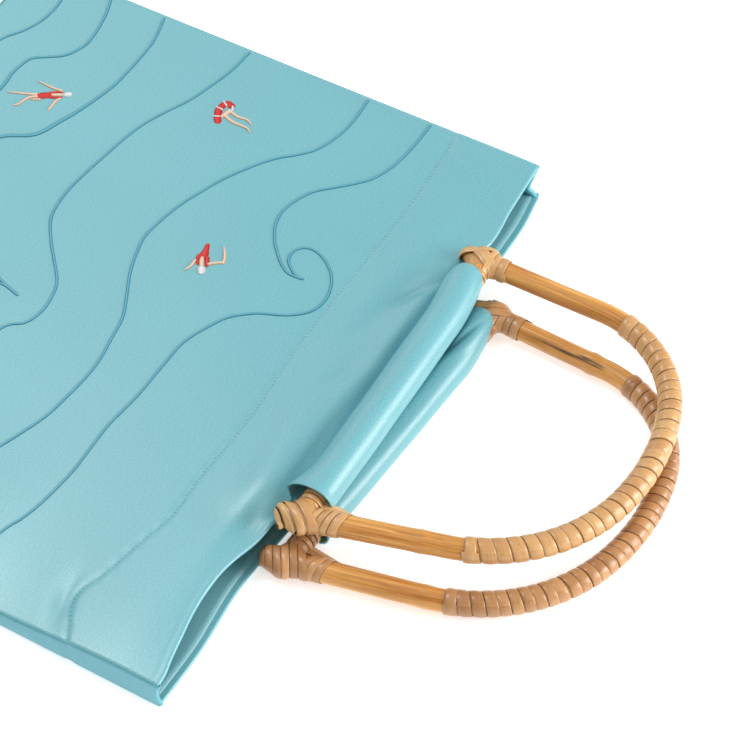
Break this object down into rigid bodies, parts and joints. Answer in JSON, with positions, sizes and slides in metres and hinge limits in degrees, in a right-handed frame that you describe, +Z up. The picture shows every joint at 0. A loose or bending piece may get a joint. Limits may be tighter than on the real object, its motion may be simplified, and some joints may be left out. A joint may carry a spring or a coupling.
{
  "type": "beach bag",
  "caption": "Satin tote with side and base gussets, turned-in hem, embroidered waves and bathers, and a D-shaped rattan handle in a fold-over casing on each face.",
  "frame": {"origin": "on the surface the bag lies on, below the middle of its bounding box", "axes": "+X across the bag to the far side, +Y from the handles to the base, +Z up off the surface, out of the front panel"},
  "size_m": [0.34, 0.437, 0.0327],
  "materials": {
    "satin": "heavy duchess satin with a soft silky sheen",
    "facing_satin": "the dull reverse of the satin, turned in",
    "lining": "plain woven lining",
    "sewing_thread": "fine sewing thread",
    "wave_thread": "glossy embroidery thread",
    "red_thread": "glossy embroidery thread",
    "flesh_thread": "glossy embroidery thread",
    "white_thread": "glossy embroidery thread",
    "cane": "bare rattan with long dark grain, satin varnish",
    "front_peel": "split rattan peel, glossy outside",
    "back_peel": "split rattan peel, browner, glossy outside",
    "brad_steel": "plain steel"
  },
  "bodies": {
    "bag_back": {"back_panel": "satin", "back_facing": "facing_satin", "back_lining": "lining", "back_casing": "satin", "back_hem_stitches": "sewing_thread", "near_gusset": "satin", "far_gusset": "satin", "near_gusset_facing": "facing_satin", "far_gusset_facing": "facing_satin", "base_gusset": "satin"},
    "bag_front": {"front_panel": "satin", "front_facing": "facing_satin", "front_lining": "lining", "front_casing": "satin", "front_hem_stitches": "sewing_thread", "wave_embroidery": "wave_thread", "suit_embroidery": "red_thread", "limb_embroidery": "flesh_thread", "cap_embroidery": "white_thread"},
    "front_handle": {"front_hoop": "cane", "front_crossbar": "cane", "front_near_lashing": "front_peel", "front_far_lashing": "front_peel", "front_grip_wrap": "front_peel", "front_brads": "brad_steel"},
    "back_handle": {"back_hoop": "cane", "back_crossbar": "cane", "back_near_lashing": "back_peel", "back_far_lashing": "back_peel", "back_grip_wrap": "back_peel", "back_brads": "brad_steel"}
  },
  "joints": [
    {"name": "mouth_opening", "type": "hinge", "parent": "bag_back", "child": "bag_front", "pos_m": [0, 0.21849, 0.011], "axis": [-1, 0, 0], "range_deg": [0, 7]},
    {"name": "front_handle_swing", "type": "hinge", "parent": "bag_front", "child": "front_handle", "pos_m": [0.0166, -0.08532, 0.0247], "axis": [-0.9999, -0.0122, 0], "range_deg": [0, 165]},
    {"name": "back_handle_swing", "type": "hinge", "parent": "bag_back", "child": "back_handle", "pos_m": [0.0025, -0.09201, 0.008], "axis": [-0.9977, 0.068, 0], "range_deg": [-105, 0]}
  ]
}
